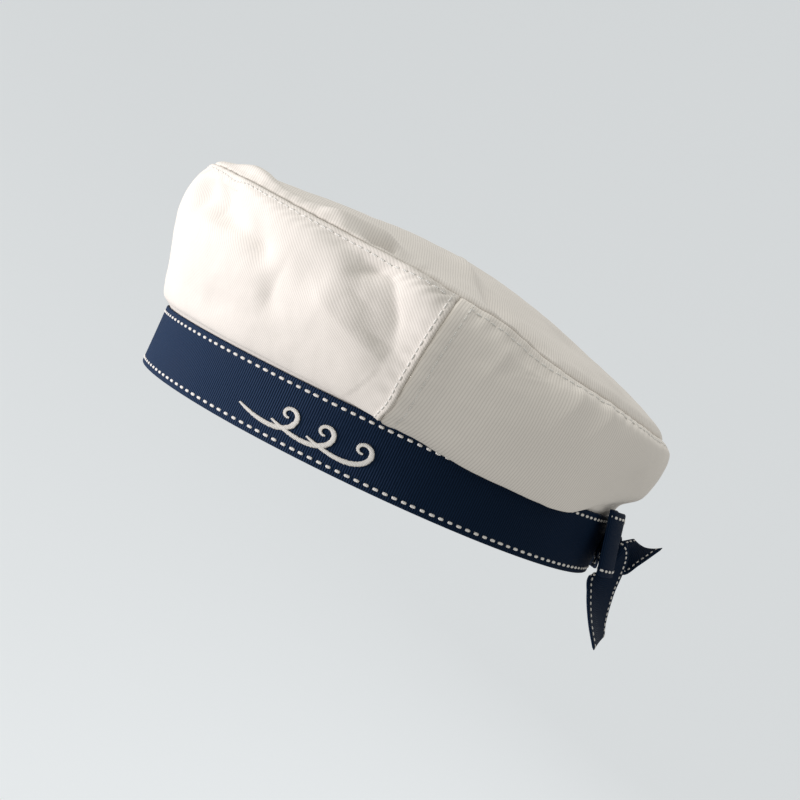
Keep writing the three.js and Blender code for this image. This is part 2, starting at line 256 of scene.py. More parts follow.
# %% Small creases
STROKE = 1.92
CREASES = [
    # name, bent stroke, width of the front flank, width of the back flank, depth
    ("valley by the side seam", [(84, 6), (88, -8), (90.6, -17), (91.6, -26), (89, -40)], 7, 9, 1.9),
    ("fine line in the valley", [(84, 0), (87.5, -9), (90.6, -17), (91.4, -25)], 2.6, 1.5, 0.9),
    ("short cross crease", [(84, -23), (89, -25), (93, -25.5), (97, -22)], 1.6, 1.4, 0.5),
    ("second cross crease", [(80, -14), (84, -17), (88, -18)], 2.2, 1.6, 0.45),
    ("crest across the side", [(70, -14), (78.5, -24), (84.5, -27.5), (91, -30.5), (98, -38)], 14, 7, -3.2),
    ("dent under the top seam", [(91, 9), (86.5, 1), (84, -4.5), (81.5, -9), (78, -13)], 5, 5, 3.2),
    ("dent across the tip", [(83, -2), (83, 2), (82.8, 6), (82.4, 12), (82, 19)], 5, 1.2, 5.0),
    ("lobe before the dent", [(66, -3), (70, 4), (74, 10), (80, 18)], 4, 3, -2.0),
    ("short crease in the front", [(69.4, -14), (67.5, -25), (66.4, -34), (65, -46)], 3.4, 8, 1.3),
    ("corner pinch", [(36, 4), (41, -5), (44, -12), (46, -24)], 2.4, 2.0, 0.8),
    ("upper corner pinch", [(36, 1), (46, -3), (54, -7), (62, -10)], 2.0, 1.8, 0.6),
    ("crest along the side seam", [(99, 10), (98, -10), (97, -24), (95.5, -40), (94.5, -70)], 16, 8, -1.3),
    ("crest over the top seam", [(88, -10), (89, 8), (88.3, 30)], 2.2, 2.2, -0.8),
    ("pucker over the top seam", [(88.4, 0), (89.2, 8), (90.2, 18)], 2.4, 1.0, 2.6),
    ("crest down the tip", [(94, 85), (101, 30), (104, 6), (110, -8)], 10, 8, -2.8),
    ("back dent over the seam", [(101, 46), (108, 12), (113, 3), (117, 0), (119, -6), (121, -24)], 9, 6, 3.4),
    ("hollow behind the side seam", [(102, 2), (103, -14), (102, -30), (101, -60)], 5, 22, 1.4),
    ("first back streak", [(111, 4), (109, -9), (106, -24)], 3, 2.5, -0.9),
    ("second back streak", [(127, 4), (125, -7), (122, -20)], 3, 2.5, -0.9),
    ("third back streak", [(135, 4), (132, -8), (129, -22)], 3, 3, -0.9),
    ("right valley", [(262, -2), (266, -14), (271, -34)], 7, 4, 1.4),
    ("right dent under the seam", [(288, 3), (285, -6), (278, -20), (276, -36)], 8, 4, 1.6),
    ("right dent across the tip", [(255, -2), (258, 14), (263, 36)], 8, 4, 1.6),
    ("right front crease", [(318, -8), (322, -22), (329, -42)], 6, 4, 1.0),
    ("right back crease", [(238, -2), (233, -14), (229, -30)], 5, 6, 1.0),
    ("back crease", [(204, -2), (209, -14), (217, -30)], 5, 6, 0.8),
    ("middle back crease", [(172, -2), (179, -12), (186, -26)], 6, 6, 0.8),
    ("right tip crease", [(302, 1), (299, 14), (294, 40)], 6, 4, 1.0),
    ("back tip crease", [(206, 4), (199, 18), (190, 44)], 7, 6, 0.9),
    ("front tip crease", [(10, 3), (16, 16), (26, 40)], 7, 5, 0.8),
    ("front crease", [(352, -10), (356, -24), (3, -40)], 6, 4, 0.7),
]


def one_crease(angle, height, line, front_width, back_width, depth):
    """How far one crease moves the cloth outwards, in millimetres."""
    x = np.degrees(turn_between(angle, math.radians(line[0][0]))) * STROKE
    knots = [(math.degrees(turn_between(math.radians(deg), math.radians(line[0][0]))) * STROKE, up)
             for deg, up in line]
    nearest = np.full(height.shape, 1e6)
    width = np.full(height.shape, float(front_width))
    place = np.zeros(height.shape)
    run = 0.0
    for (from_x, from_y), (to_x, to_y) in zip(knots[:-1], knots[1:]):
        dx = to_x - from_x
        dy = to_y - from_y
        length = math.hypot(dx, dy)
        share = np.clip(((x - from_x) * dx + (height - from_y) * dy) / length ** 2, 0, 1)
        away = np.hypot(x - from_x - share * dx, height - from_y - share * dy)
        behind = ((x - from_x) * dy - (height - from_y) * dx) * (1 if dy >= 0 else -1) > 0
        closer = away < nearest
        nearest = np.where(closer, away, nearest)
        width = np.where(closer, np.where(behind, back_width, front_width), width)
        place = np.where(closer, run + share * length, place)
        run += length
    fade = smoothstep(place, 0, 0.35 * run) * (1 - smoothstep(place, 0.6 * run, run))
    return -depth * fade * np.exp(-(nearest / width) ** 1.4)


def creases(angle, height):
    return sum(one_crease(angle, height, *row[1:]) for row in CREASES)


print("small creases:", len(CREASES))

# %% [markdown]
# Where a hand has pressed the cloth in, there is a soft dent without a sharp line. A dent is a bell
# with its own length, breadth and lean on the flat cloth. The top seam is several layers thick and
# hardly follows, and beside it both panels are pushed the same way, so that they don't part.

# %% Soft dents
DENTS = [
    # name, degrees, height, half length mm, half breadth mm, lean in degrees, depth mm
    ("front dent", 48, -15, 18, 6, -8, 5.2),
    ("front dent's end", 61, -19, 8, 5.5, -30, 4.2),
    ("corner dent", 35, -13, 7, 7, 0, 4.2),
    ("pinched corner", 45, -5, 7, 6, -30, 3.2),
    ("lobe of the tip over the front", 46, 6.5, 18, 5.5, -4, -3.4),
    ("hollow behind the lobe", 50, 17, 18, 6, -4, 1.8),
    ("pocket by the top seam", 81, 6, 6, 4, 0, 3.0),
    ("lobe over the pocket", 79.5, 16, 8, 5, 0, -2.8),
    ("low front dent", 66.5, -33, 4, 7, 20, 0.8),
    ("middle dent", 74.5, -19, 6, 6, 0, 1.4),
    ("dent by the ribbon", 52, -48, 12, 6, 10, 1.2),
    ("right front dent", 318, -24, 12, 7, 15, 2.6),
    ("right dent", 282, -30, 9, 9, 0, 2.2),
    ("back right dent", 222, -20, 11, 7, -10, 1.8),
    ("back left dent", 150, -22, 11, 7, 10, 1.6),
    ("back dent on the tip", 113, 6, 9, 5, 0, 3.4),
    ("back dent under the seam", 115, -10, 9, 7, 0, 2.0),
    ("dent in the tip", 140, 40, 14, 9, 20, 1.6),
    ("right dent in the tip", 250, 38, 12, 12, 0, 1.8),
    ("front dent in the tip", 350, 34, 14, 8, 10, 1.4),
]
LUMPS = [
    # height mm, size mm, seed
    (0.55, 21, 1),
    (0.24, 8, 2),
    (0.1, 4, 3),
]
SEAM_SHARE = 0.06
STIFF_TO = 0.8
FREE_FROM = 5.5


def dents(angle, height):
    depth = np.zeros(height.shape)
    for name, deg, up, long, broad, lean, deep in DENTS:
        x = np.degrees(turn_between(angle, math.radians(deg))) * STROKE
        y = height - up
        tilt = math.radians(lean)
        along = x * math.cos(tilt) + y * math.sin(tilt)
        across = y * math.cos(tilt) - x * math.sin(tilt)
        depth -= deep * bell(along, long) * bell(across, broad)
    return depth


def lumps(points, size, seed):
    """Smooth lumps of about the given size in millimetres, from -1 to 1."""
    shift = Vector((seed * 17.3, seed * 5.1, seed * 11.7))
    flat = points.reshape(-1, 3) / size
    return np.array([noise.noise(Vector(p) + shift) for p in flat]).reshape(points.shape[:-1])


def crown_relief(face, angle, height):
    """Creases, dents and small lumps together, mm. The stiff top seam keeps out of most."""
    away = SEAM_SHARE + (1 - SEAM_SHARE) * smoothstep(np.abs(height), STIFF_TO, FREE_FROM)
    small = sum(tall * lumps(face, size, seed) for tall, size, seed in LUMPS)
    return (creases(angle, height) + dents(angle, height)) * away + small


def push_direction(normal, angle, height):
    """Which way relief moves the cloth: its own normal, and at the top seam one way for both panels."""
    ridge = np.stack([np.sin(angle), -np.cos(angle), np.full(angle.shape, 0.9)], axis=-1)
    ridge /= np.linalg.norm(ridge, axis=-1, keepdims=True)
    share = smoothstep(np.abs(height), 0.5, 9)[..., None]
    mixed = ridge * (1 - share) + normal * share
    return mixed / np.linalg.norm(mixed, axis=-1, keepdims=True)


print("soft dents:", len(DENTS))

# %% [markdown]
# Every cloth here is a thin closed wall: an outer sheet, an inner sheet one cloth behind it, and a
# hem that joins their edges. A Solidify modifier could do that, but building both sheets from one
# grid keeps control of the thickness at each point and gives every vertex its place on the flat
# cloth for the weave.

# %% Grids that become closed cloth
def grid_normals(points, closed=False):
    """Outward unit normals of a grid (along, up, xyz)."""
    along = np.gradient(points, axis=0)
    if closed:
        along = np.roll(points, -1, axis=0) - np.roll(points, 1, axis=0)
    normal = np.cross(along, np.gradient(points, axis=1))
    return normal / np.maximum(np.linalg.norm(normal, axis=-1, keepdims=True), 1e-9)


def strip_faces(first, second):
    return np.stack([first[:-1], first[1:], second[1:], second[:-1]], axis=-1).reshape(-1, 4)


def grid_faces(index):
    return np.concatenate([strip_faces(index[:, j], index[:, j + 1]) for j in range(index.shape[1] - 1)])


def cloth_mesh(name, outer, inner, weave, edge, closed=False, pole=False):
    """A closed wall between two grids in millimetres, with its weave and edge distance as attributes."""
    columns, rows = outer.shape[:2]
    index = np.arange(columns * rows).reshape(columns, rows)
    if closed:
        index = np.concatenate([index, index[:1]])
    behind = index + columns * rows
    faces = [grid_faces(index), grid_faces(behind)[:, ::-1], strip_faces(behind[:, 0], index[:, 0])]
    if not closed:
        faces.append(strip_faces(index[0], behind[0]))
        faces.append(strip_faces(behind[-1], index[-1]))
    if not pole:
        faces.append(strip_faces(index[:, -1], behind[:, -1]))
    points = np.concatenate([outer.reshape(-1, 3), inner.reshape(-1, 3)])
    faces = [tuple(face) for face in np.concatenate(faces).tolist()]
    weave = np.concatenate([weave.reshape(-1, 2)] * 2)
    edge = np.concatenate([edge.reshape(-1)] * 2)
    if pole:
        for ring, sheet in ((index[:, -1], outer), (behind[:, -1], inner)):
            middle = len(points)
            points = np.concatenate([points, sheet[:, -1].mean(axis=0)[None]])
            weave = np.concatenate([weave, weave[ring[:-1]].mean(axis=0)[None]])
            edge = np.append(edge, edge[ring[0]])
            faces += [(int(a), int(b), middle) for a, b in zip(ring[:-1], ring[1:])]
    return finish_mesh(name, points, faces, weave, edge)


def finish_mesh(name, points, faces, weave, edge):
    """Makes the object: faces turned outwards, smooth shading, weave and edge attributes in metres."""
    mesh = bpy.data.meshes.new(name)
    mesh.from_pydata((points * MM).tolist(), [], faces)
    sewn = bmesh.new()
    sewn.from_mesh(mesh)
    bmesh.ops.recalc_face_normals(sewn, faces=sewn.faces)
    sewn.to_mesh(mesh)
    sewn.free()
    mesh.shade_smooth()
    flat = np.concatenate([weave, np.zeros((len(weave), 1))], axis=1) * MM
    mesh.attributes.new("weave", "FLOAT_VECTOR", "POINT").data.foreach_set("vector", flat.ravel())
    mesh.attributes.new("edge", "FLOAT", "POINT").data.foreach_set("value", edge * MM)
    piece = bpy.data.objects.new(name, mesh)
    bpy.context.scene.collection.objects.link(piece)
    triangles = sum(len(face) - 2 for face in faces)
    print(name, "triangles:", triangles)
    return piece


print("faces in a grid of 3 by 3 points:", len(grid_faces(np.arange(9).reshape(3, 3))))

# %% [markdown]
# The side of the crown is cut in a front and a back panel. Two seams, one on each side, join them
# and lean back from the ribbon to the top. Rows are spread evenly along the cloth from the ribbon
# to the top seam, so the weave isn't stretched. Along each seam the layers behind it make a low
# welt, the row of stitches pulls a shallow gutter into it, and the thread puckers the cloth.

# %% Rows along the cloth
SEAM_COURSE = [
    # level of the crown, degrees from the front
    (2.0, 94.4),
    (3.5, 94.6),
    (4.3, 95.5),
    (5.0, 96.9),
    (6.0, 97.7),
    (7.0, 98.2),
]
FRONT_STITCH = 2.2
BACK_STITCH = 5.0
TOP_STITCH = 2.6
WELT = 0.38
GUTTER = 0.3
ROLL_OFF = 0.5
PUCKER = 0.3


def side_seam_angle(level):
    """Where the side seams run at a level of the crown, in radians from the front."""
    stations, degrees = zip(*SEAM_COURSE)
    return np.radians(np.interp(level, stations, degrees))


def even_rows(angle, low, high, count):
    """Levels (column, row) that lie evenly along the cloth, and the cloth's length to the top row."""
    fine = np.linspace(low, high, 240)
    track = smooth_crown(angle, np.tile(fine, (len(angle), 1)))
    run = np.linalg.norm(np.diff(track, axis=1), axis=-1).cumsum(axis=1)
    run = np.concatenate([np.zeros((len(angle), 1)), run], axis=1)
    share = np.linspace(0, 1, count)
    levels = np.stack([np.interp(share * r[-1], r, fine) for r in run])
    return levels, share * run[:, -1:]


def seam_relief(distance, along, stitch, phase):
    """Welt, stitch gutter and puckers at a distance from a seam, mm. stitch: where the row runs."""
    welt = WELT * (1 - smoothstep(distance, stitch - 0.4, stitch + 1.2))
    gutter = -GUTTER * bell(distance - stitch, 0.6)
    roll = -ROLL_OFF * (1 - smoothstep(distance, 0, 0.8))
    wave = np.sin(along / 0.95 + 2.3 * np.sin(along / 7.3 + phase) + phase)
    strength = 0.25 + 0.75 * np.sin(along / 19 + 2 * phase) ** 2
    pucker = PUCKER * wave * bell(distance - stitch - 0.6, 2.6) * strength
    return welt + gutter + roll + pucker


print("side seams at the ribbon and at the top, degrees:", SEAM_COURSE[0][1], SEAM_COURSE[-1][1])

# %% [markdown]
# Each panel is a grid with columns round the hat and rows up the cloth. Its lower rows go down
# inside the ribbon, as the real hem does. Folds, creases and seams are added to the grid, and the
# second sheet is set behind it. The twill leans by its own angle in each panel, because they were
# cut from the cloth in different directions. The back panel's flat pattern is an arc, so its twill
# leans more and more beside the side seam.

# %% Front and back panels of the side
HIDDEN_ROWS = [0.0, 0.4, 0.8]
HEM_LENGTH = 23.2
WEAVE_RADIUS = 106.0
crown_sheets = {}


def flat_place(around, height, flare):
    """Place on the flat pattern, mm: on a straight strip, or on an arc that fans out by its flare."""
    if flare == 0:
        return around * WEAVE_RADIUS, height
    radius = WEAVE_RADIUS / flare + height
    return radius * np.sin(flare * around), radius * np.cos(flare * around) - WEAVE_RADIUS / flare


def side_panel(name, columns, rows, is_front, grain, flare):
    """One panel of the crown's side. grain: how far the twill leans from upright in the middle of the
    panel, in degrees. flare: how far the flat pattern fans out, 0 for a straight strip."""
    share = np.linspace(0, 1, columns)
    side = SEAM_COURSE[-1][1]
    rough = np.radians(-side + 2 * side * share)
    if not is_front:
        rough = np.radians(side + (360 - 2 * side) * share)
    levels, run = even_rows(rough, 1.0, SEAM_LEVEL - SEAM / 6, rows)
    hidden = np.tile(HIDDEN_ROWS, (columns, 1))
    levels = np.concatenate([hidden, levels], axis=1)
    run = np.concatenate([(hidden - 1) * HEM_LENGTH, run], axis=1)
    seam = side_seam_angle(levels) - SEAM / WEAVE_RADIUS
    low = -seam
    high = seam
    if not is_front:
        low = side_seam_angle(levels) + SEAM / WEAVE_RADIUS
        high = 2 * math.pi - low
    angle = low + (high - low) * share[:, None]
    height = run - run[:, -1:]
    face = folded_crown(angle, levels)
    normal = grid_normals(face)
    breadth = np.linalg.norm(np.diff(face, axis=0), axis=-1).cumsum(axis=0)
    breadth = np.concatenate([np.zeros((1, breadth.shape[1])), breadth])
    free = smoothstep(levels, 2.0, 3.4)
    drape = crown_relief(face, angle, height) * free
    relief = seam_relief(-height, breadth, TOP_STITCH, 0.4)
    side_free = smoothstep(levels, 1.6, 2.4)
    stitch = FRONT_STITCH if is_front else BACK_STITCH
    relief += side_free * seam_relief(breadth, height, stitch, 1.9)
    relief += side_free * seam_relief(breadth[-1:] - breadth, height, stitch, 3.1)
    face = face + push_direction(normal, angle, height) * drape[..., None] + normal * relief[..., None]
    inner = face - grid_normals(face) * CLOTH
    lean = math.radians(grain)
    along, up = flat_place(angle if is_front else angle - math.pi, height, flare)
    weave = np.stack([along * math.cos(lean) - up * math.sin(lean),
                      along * math.sin(lean) + up * math.cos(lean)], axis=-1)
    edge = np.minimum(np.minimum(breadth, breadth[-1:] - breadth), -height)
    crown_sheets[name] = {"face": face, "height": height, "breadth": breadth, "levels": levels}
    return cloth_mesh(name, face, inner, weave, edge)


front_panel = side_panel("front_panel_cloth", 400, 100, True, -51, 0)
back_panel = side_panel("back_panel_cloth", 330, 84, False, -23, 0.42)

# %% [markdown]
# The tip is a round panel. A flat disc would do for a new hat, but this one has been used: it rises
# to a low cone, rolls over just above the seam, and the dents of the side run on into it. It is a
# polar grid, with a fan of triangles that closes the middle.

# %% Tip of the crown
def crown_tip(columns, rows, grain):
    angle = np.linspace(0, 2 * math.pi, columns, endpoint=False)
    levels, run = even_rows(angle, SEAM_LEVEL + SEAM / 6, TOP_LEVEL - 0.02, rows)
    spread = np.tile(angle[:, None], (1, rows))
    face = folded_crown(spread, levels)
    normal = grid_normals(face, closed=True)
    along = spread * SEAM_RADIUS
    drape = crown_relief(face, spread, run) * (1 - smoothstep(levels, TOP_LEVEL - 1.5, TOP_LEVEL))
    roll = 0.7 * bell(run - 4.5, 3.5) - 0.6 * (1 - smoothstep(run, 0, 1.0))
    pucker = 0.18 * np.sin(along / 1.15 + 1.7 * np.sin(along / 9.1)) * bell(run - 2, 3)
    face = face + push_direction(normal, spread, run) * drape[..., None] + normal * (roll + pucker)[..., None]
    inner = face - grid_normals(face, closed=True) * CLOTH
    lean = math.radians(grain)
    weave = np.stack([face[..., 0] * math.cos(lean) - face[..., 1] * math.sin(lean),
                      face[..., 0] * math.sin(lean) + face[..., 1] * math.cos(lean)], axis=-1)
    crown_sheets["tip_cloth"] = {"face": face, "height": run, "levels": levels}
    return cloth_mesh("tip_cloth", face, inner, weave, run, closed=True, pole=True)


tip = crown_tip(420, 100, 79)

# %% [markdown]
# The ribbon round the foot is woven grosgrain: thin, firm, with a rounded selvage at both edges. It
# could be an extruded curve, but as a grid it can ease in and out a little where it was sewn on by
# hand.

# %% Ribbon round the foot
def selvage(across):
    """Half thickness of a ribbon at a distance from its edge, so that the edge is round."""
    share = np.clip(across / 0.55, 0, 1)
    return RIBBON / 2 * np.sqrt(np.maximum(1 - (1 - share) ** 2, 0.05))


def edge_spacing(count, width):
    """Places across a ribbon, closer together at its two edges."""
    edge = np.array([0, 0.08, 0.2, 0.36, 0.55])
    return np.concatenate([edge, np.linspace(0.9, width - 0.9, count), width - edge[::-1]])


def ribbon_band(columns):
    angle = np.linspace(0, 2 * math.pi, columns, endpoint=False) + math.pi
    across = edge_spacing(22, RIBBON_WIDTH)
    spread, place = np.meshgrid(angle, across, indexing="ij")
    middle = np.stack([(RIBBON_BREADTH - RIBBON / 2) * np.sin(spread),
                       -(RIBBON_LENGTH - RIBBON / 2) * np.cos(spread), place], axis=-1)
    normal = grid_normals(middle, closed=True)
    ease = 0.12 * lumps(middle, 30, 6)
    half = selvage(np.minimum(place, RIBBON_WIDTH - place))
    outer = middle + normal * (half + ease)[..., None]
    inner = middle - normal * (half - 0.1)[..., None]
    step = np.linalg.norm(np.diff(middle[:, 0], axis=0), axis=-1)
    run = np.concatenate([[0], step.cumsum()])
    weave = np.stack([np.tile(run[:, None], (1, len(across))), place], axis=-1)
    edge = np.minimum(place, RIBBON_WIDTH - place)
    band_track["face"] = outer
    band_track["run"] = run
    band_track["angle"] = angle
    band_track["across"] = across
    return cloth_mesh("ribbon_cloth", outer, inner, weave, edge, closed=True)


band_track = {}
ribbon = ribbon_band(900)
print("ribbon length, mm:", round(float(band_track["run"][-1]), 1))

# %% [markdown]
# The bow is one closed ring of ribbon, pinched flat in the middle by the knot. Its plan is drawn
# once as a curve that goes out along the front layer and comes back along the rear one. Towards the
# knot the ribbon gathers into pleats, which a sine across its width gives.

# %% Loops of the bow
LOOP_REACH = 36.0
LOOP_SWELL = 4.2
LOOP_LEAN = 0.24
LOOP_LIFT = 1.5
LOOP_TILT = 2.5
BOW_MIDDLE = 12.2
WAIST = 8.5
STACK = RIBBON + GAP
LOOP_PLEAT = 0.28


def band_back(x):
    return RIBBON_LENGTH * np.sqrt(1 - (x / RIBBON_BREADTH) ** 2)


def loop_plan(turn):
    angle = turn * 2 * math.pi
    x = -LOOP_REACH * np.sin(angle)
    swell = STACK + RIBBON + (LOOP_SWELL - STACK - RIBBON) * smoothstep(np.abs(x) / LOOP_REACH, 0.2, 0.8)
    turned = np.minimum(1, np.abs(np.cos(angle)) ** 0.6 * 1.25)
    half = swell / 2 * np.sign(np.cos(angle)) * turned
    return np.stack([x, band_back(x) + STACK + 2 * GAP + swell / 2 + half], axis=-1)


def bow_loops(columns):
    turn = np.linspace(0, 1, columns, endpoint=False) + 0.5 / columns
    plan = loop_plan(turn)
    tangent = loop_plan(turn + 1e-3) - loop_plan(turn - 1e-3)
    tangent /= np.linalg.norm(tangent, axis=-1, keepdims=True)
    inwards = np.stack([-tangent[:, 1], tangent[:, 0]], axis=-1)
    across = edge_spacing(20, RIBBON_WIDTH)
    gather = smoothstep(np.abs(plan[:, 0]) / LOOP_REACH, 0.12, 0.7)[:, None]
    height = (across / RIBBON_WIDTH - 0.5) * (WAIST + (RIBBON_WIDTH - WAIST) * gather)
    half = selvage(np.minimum(across, RIBBON_WIDTH - across))
    sheets = []
    for side in (-1, 1):
        away = (RIBBON / 2 + side * half)[None, :, None]
        flat = plan[:, None, :] + inwards[:, None, :] * away
        y = flat[..., 1] + (RIBBON_WIDTH / 2 - height) * LOOP_LEAN * gather
        wave = np.sin(across / RIBBON_WIDTH * 6 * math.pi)
        pleat = LOOP_PLEAT * wave * (1 - gather) * smoothstep(gather, 0, 0.1)
        tilt = gather * (LOOP_LIFT + LOOP_TILT * np.sign(plan[:, :1]))
        sheets.append(np.stack([flat[..., 0], y + pleat, BOW_MIDDLE + height + tilt], axis=-1))
    outer, inner = sheets
    run = np.concatenate([[0], np.linalg.norm(np.diff(plan, axis=0), axis=-1).cumsum()])
    weave = np.stack([np.tile(run[:, None], (1, len(across))), np.tile(across, (columns, 1))], axis=-1)
    edge = np.tile(np.minimum(across, RIBBON_WIDTH - across), (columns, 1))
    bow_track["loops"] = {"outer": outer, "inner": inner, "across": across}
    return cloth_mesh("bow_loop_cloth", outer, inner, weave, edge, closed=True)


bow_track = {}
loops = bow_loops(360)

# %% [markdown]
# The knot is a short wrap of the same ribbon, pulled tight, so it has soft corners and two or three
# creases along it.

# %% Knot of the bow
KNOT_BREADTH = 10.0
KNOT_RADIUS = 6.0
KNOT_CREASE = 0.22


def bow_knot(columns):
    turn = np.linspace(0, 2 * math.pi, columns, endpoint=False)
    across = edge_spacing(14, KNOT_BREADTH)
    inner_y = band_back(0) + GAP + RIBBON
    depth = 4 * STACK + 2.5 * GAP
    half_height = WAIST / 2 + 6 * GAP
    half = selvage(np.minimum(across, KNOT_BREADTH - across))
    spread, place = np.meshgrid(turn, across, indexing="ij")

    def corner(value):
        return np.sign(value) * np.abs(value) ** 0.5

    sheets = []
    outside = smoothstep(np.cos(spread), -0.2, 0.5)
    crease = KNOT_CREASE * np.cos(place / KNOT_BREADTH * 6 * math.pi) * outside
    for side in (1, -1):
        swell = RIBBON / 2 + side * half[None, :] + (crease - KNOT_CREASE if side > 0 else 0)
        y = inner_y + depth / 2 + (depth / 2 + swell) * corner(np.cos(spread))
        z = BOW_MIDDLE + (half_height + swell) * corner(np.sin(spread))
        sheets.append(np.stack([place - KNOT_BREADTH / 2, y, z], axis=-1))
    weave = np.stack([spread * KNOT_RADIUS, place], axis=-1)
    edge = np.minimum(place, KNOT_BREADTH - place)
    return cloth_mesh("bow_knot_cloth", sheets[0], sheets[1], weave, edge, closed=True)


knot = bow_knot(120)

# %% [markdown]
# The two tails come out of the knot, widen as their gathers open, and end in slanted cuts. Each is
# swept along a line of a few stations with a direction across the ribbon at each, close to those of
# the CAD solids.

# %% Tails of the bow
TAIL_PLEAT = 0.35
LEFT_TAIL = [
    # middle x, y, z; direction across x, y, z; width
    (0.6, 108.0, 12.2, 0, 0, -1, 8.5),
    (5.4, 108.0, 12.0, 0.05, 0, -1, 8.5),
    (8.6, 110.6, 10.2, 0.2, -0.21, -0.96, 15),
    (10.2, 110.0, 4.8, 0.66, -0.6, -0.44, 23),
    (10.8, 111.2, -4.5, 0.83, -0.53, -0.1, 24.8),
    (10.6, 115.2, -16.5, 0.91, -0.4, 0.02, 25),
    (10.5, 120.0, -25.4, 0.96, -0.27, 0, 25),
]
RIGHT_TAIL = [
    (-0.6, 109.3, 12.2, 0, 0, -1, 8),
    (-6.0, 109.3, 11.8, 0.05, 0, -1, 8),
    (-9.4, 111.8, 9.2, 0.3, 0.3, -0.9, 12),
    (-13.0, 117.0, 9.4, 0.72, 0.3, -0.62, 18),
    (-17.0, 122.1, 14.0, 0.92, 0.12, -0.35, 22),
    (-19.0, 128.0, 20.8, 0.98, 0.1, 0.02, 24),
]


def bow_tail(name, stations, slant, rows):
    """A tail swept through its stations. slant: how much shorter one edge is than the other."""
    table = np.array(stations, dtype=float)
    aim = table[:, 3:6] / np.linalg.norm(table[:, 3:6], axis=1, keepdims=True) * table[:, 6:7]
    last = len(table) - 1
    across = edge_spacing(20, RIBBON_WIDTH)
    u, v = np.meshgrid(across / RIBBON_WIDTH, np.linspace(0, 1, rows), indexing="ij")
    share = v * (1 - slant * (1 - u)) * last

    def swept(knots, place):
        return lath(knots[:, None], place.reshape(1, -1)).reshape(*place.shape, 3)

    middle = swept(table[:, :3], share)
    ahead = swept(table[:, :3], np.minimum(share + 0.01, last))
    back = swept(table[:, :3], np.maximum(share - 0.01, 0))
    side = swept(aim, share)
    face = np.cross(ahead - back, side)
    face /= np.linalg.norm(face, axis=-1, keepdims=True)
    gathered = 1 - np.linalg.norm(side, axis=-1) / RIBBON_WIDTH
    pleat = TAIL_PLEAT * np.sin(u * 5 * math.pi) * np.clip(gathered, 0, 1) * smoothstep(share, 1.2, 2.2)
    sheet = middle + side * (u - 0.5)[..., None] + face * pleat[..., None]
    half = selvage(np.minimum(across, RIBBON_WIDTH - across))[:, None]
    cut = np.clip((1 - v) * 40 / 0.4, 0.35, 1)
    outer = sheet - face * (half * cut)[..., None]
    inner = sheet + face * (half * cut)[..., None]
    run = np.concatenate([np.zeros((len(across), 1)),
                          np.linalg.norm(np.diff(sheet, axis=1), axis=-1).cumsum(axis=1)], axis=1)
    weave = np.stack([run, np.tile(across[:, None], (1, rows))], axis=-1)
    edge = np.tile(np.minimum(across, RIBBON_WIDTH - across)[:, None], (1, rows))
    bow_track[name] = {"outer": outer, "inner": inner, "across": across, "run": run}
    return cloth_mesh(name, outer, inner, weave, edge)


left_tail = bow_tail("bow_tail_left_cloth", LEFT_TAIL, 0.05, 70)
right_tail = bow_tail("bow_tail_right_cloth", RIGHT_TAIL, 0.2, 60)

# %% [markdown]
# Every stitch is a short length of thread that dives into the cloth at both ends. Drawing them in
# the material would be lighter, but real little capsules catch the light and cast a shadow. One
# capsule is made once, and all the stitches of a row are copies of it in one mesh, set along a path
# on the cloth.

# %% A thread capsule and rows of stitches
def capsule(around=8, along=7):
    """A closed little capsule, from -1 to 1 along x, with round ends."""
    turn = np.linspace(0, 2 * math.pi, around, endpoint=False)
    lean = np.linspace(-math.pi / 2, math.pi / 2, along + 2)[1:-1]
    x = np.sign(np.sin(lean)) * np.abs(np.sin(lean)) ** 0.8
    wide = np.cos(lean) ** 0.55
    rings = np.stack([np.tile(x[:, None], (1, around)), wide[:, None] * np.cos(turn),
                      wide[:, None] * np.sin(turn)], axis=-1)
    points = np.concatenate([[[-1, 0, 0]], rings.reshape(-1, 3), [[1, 0, 0]]])
    index = 1 + np.arange(along * around).reshape(along, around)
    index = np.concatenate([index, index[:, :1]], axis=1)
    faces = [tuple(face) for face in grid_faces(index).tolist()]
    faces += [(0, int(b), int(a)) for a, b in zip(index[0, :-1], index[0, 1:])]
    faces += [(len(points) - 1, int(a), int(b)) for a, b in zip(index[-1, :-1], index[-1, 1:])]
    return points, faces


THREAD_POINTS, THREAD_FACES = capsule()
YARN_SHIFT = 7.0


def thread_rows(name, starts, ends, ups, wide, tall):
    """One mesh of capsules from starts to ends, standing up from the cloth along ups. Millimetres."""
    starts = np.asarray(starts)
    ends = np.asarray(ends)
    ups = np.asarray(ups)
    along = (ends - starts) / 2
    length = np.linalg.norm(along, axis=1, keepdims=True)
    side = np.cross(ups, along)
    side /= np.linalg.norm(side, axis=1, keepdims=True)
    up = np.cross(along / length, side)
    shape = THREAD_POINTS
    points = ((starts + ends) / 2)[:, None] + along[:, None] * shape[None, :, :1]
    points = points + side[:, None] * (wide / 2 * shape[None, :, 1:2])
    points = points + up[:, None] * (tall * shape[None, :, 2:])
    count = len(shape)
    faces = [tuple(k * count + i for i in face) for k in range(len(starts)) for face in THREAD_FACES]
    weave = np.stack([shape[None, :, 0] * length + YARN_SHIFT * np.arange(len(starts))[:, None],
                      np.tile(shape[None, :, 1] * wide / 2, (len(starts), 1))], axis=-1)
    edge = np.tile((1 - np.abs(shape[:, 0])), len(starts))
    return finish_mesh(name, points.reshape(-1, 3), faces, weave.reshape(-1, 2), edge)


